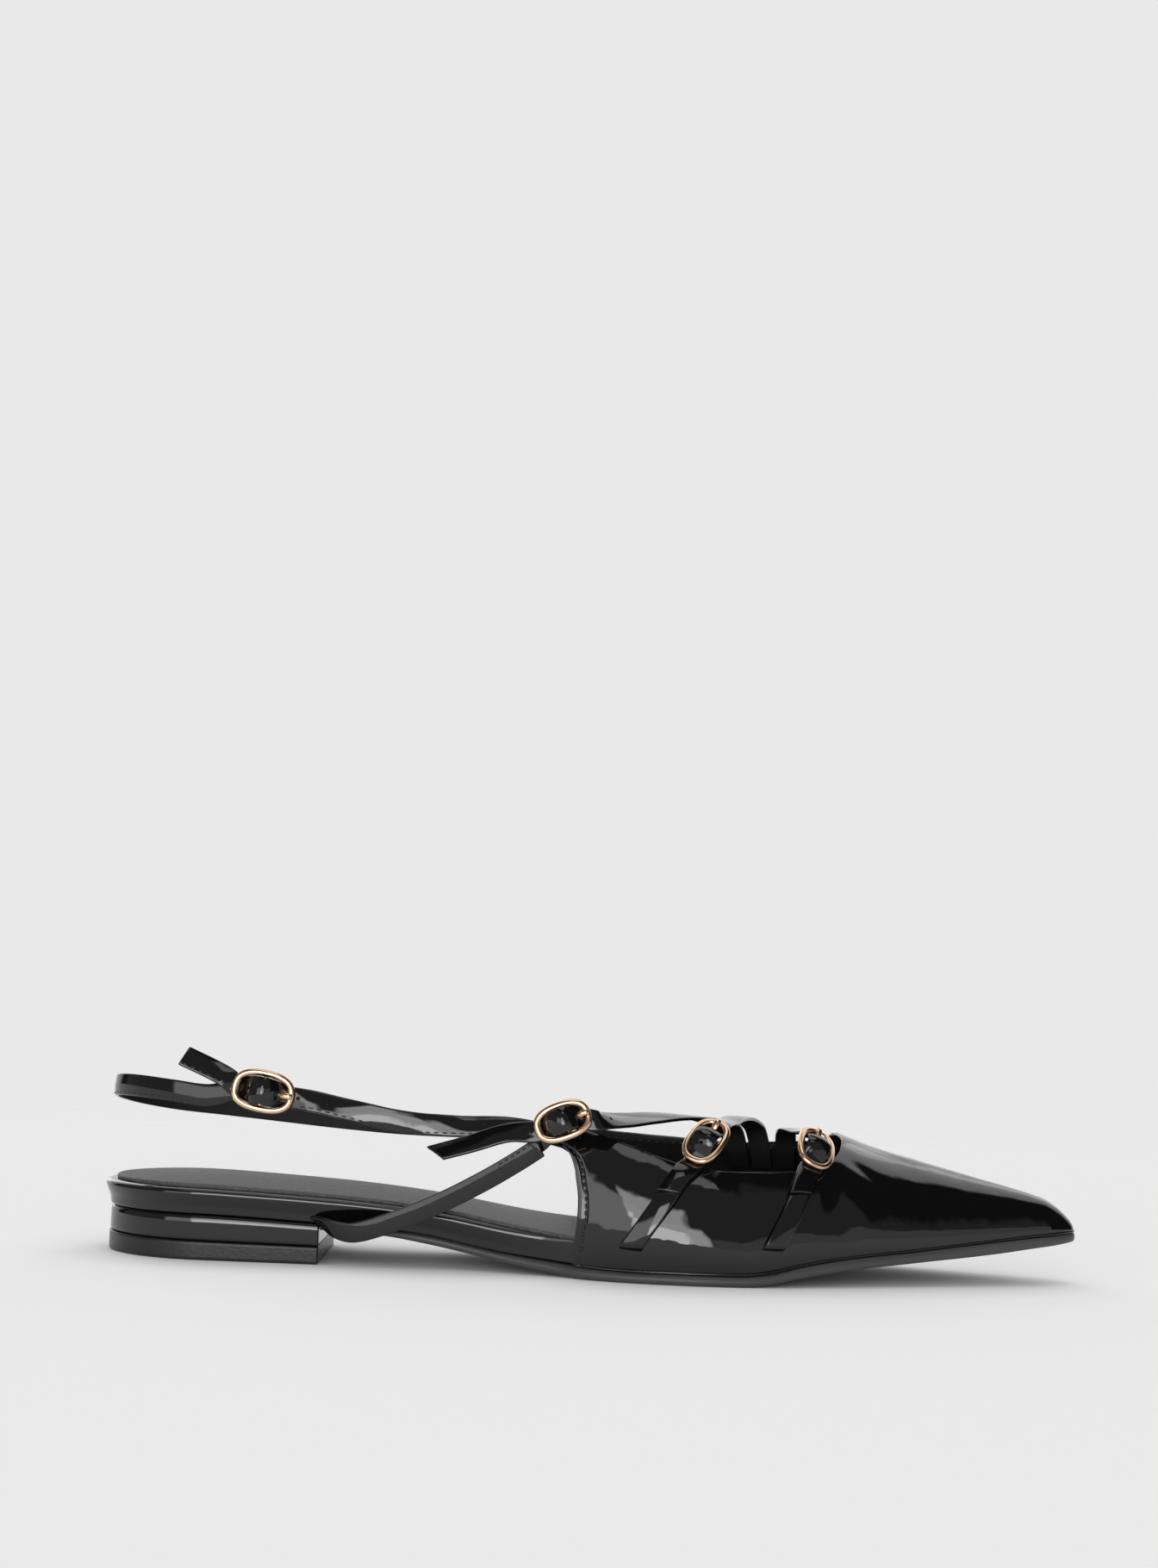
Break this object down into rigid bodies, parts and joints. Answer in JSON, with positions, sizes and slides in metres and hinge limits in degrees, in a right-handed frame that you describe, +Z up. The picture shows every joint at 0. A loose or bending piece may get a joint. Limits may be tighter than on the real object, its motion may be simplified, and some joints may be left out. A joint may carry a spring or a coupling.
{
  "type": "pointed-toe flat",
  "caption": "Right pointed-toe slingback flat in glossy black patent, open at the waist, with slim buckled straps over the instep and vamp and a low block heel.",
  "frame": {"origin": "middle of the shoe's box, on the floor plane the heel and the ball of the foot stand on", "axes": "+X from heel to toe, +Y to the medial (inner) side, +Z up"},
  "size_m": [0.274, 0.0841, 0.0587],
  "materials": {
    "patent": "glossy black patent",
    "strap_patent": "glossy black patent strap",
    "block_patent": "glossy black patent over a block",
    "sole_rubber": "satin black moulded sole",
    "heel_rubber": "satin black top piece, lightly scuffed",
    "sock_lining": "matte dark grey grained lining",
    "pale_gold": "polished pale gold"
  },
  "bodies": {
    "root": {"heel_top_piece": "heel_rubber", "heel_block": "block_patent", "outsole": "sole_rubber", "footbed": "patent", "insole_sock": "sock_lining", "vamp": "patent", "sling_buckle": "pale_gold", "sling_prong": "pale_gold", "instep_buckle": "pale_gold", "instep_prong": "pale_gold", "rear_vamp_buckle": "pale_gold", "rear_vamp_prong": "pale_gold", "front_vamp_buckle": "pale_gold", "front_vamp_prong": "pale_gold", "sling_strap_front": "strap_patent", "sling_strap_back": "strap_patent", "arch_strap": "strap_patent", "arch_strap_tab": "strap_patent", "instep_strap": "strap_patent", "rear_vamp_strap_lower": "strap_patent", "rear_vamp_strap_upper": "strap_patent", "front_vamp_strap_lower": "strap_patent", "front_vamp_strap_upper": "strap_patent"}
  },
  "joints": []
}
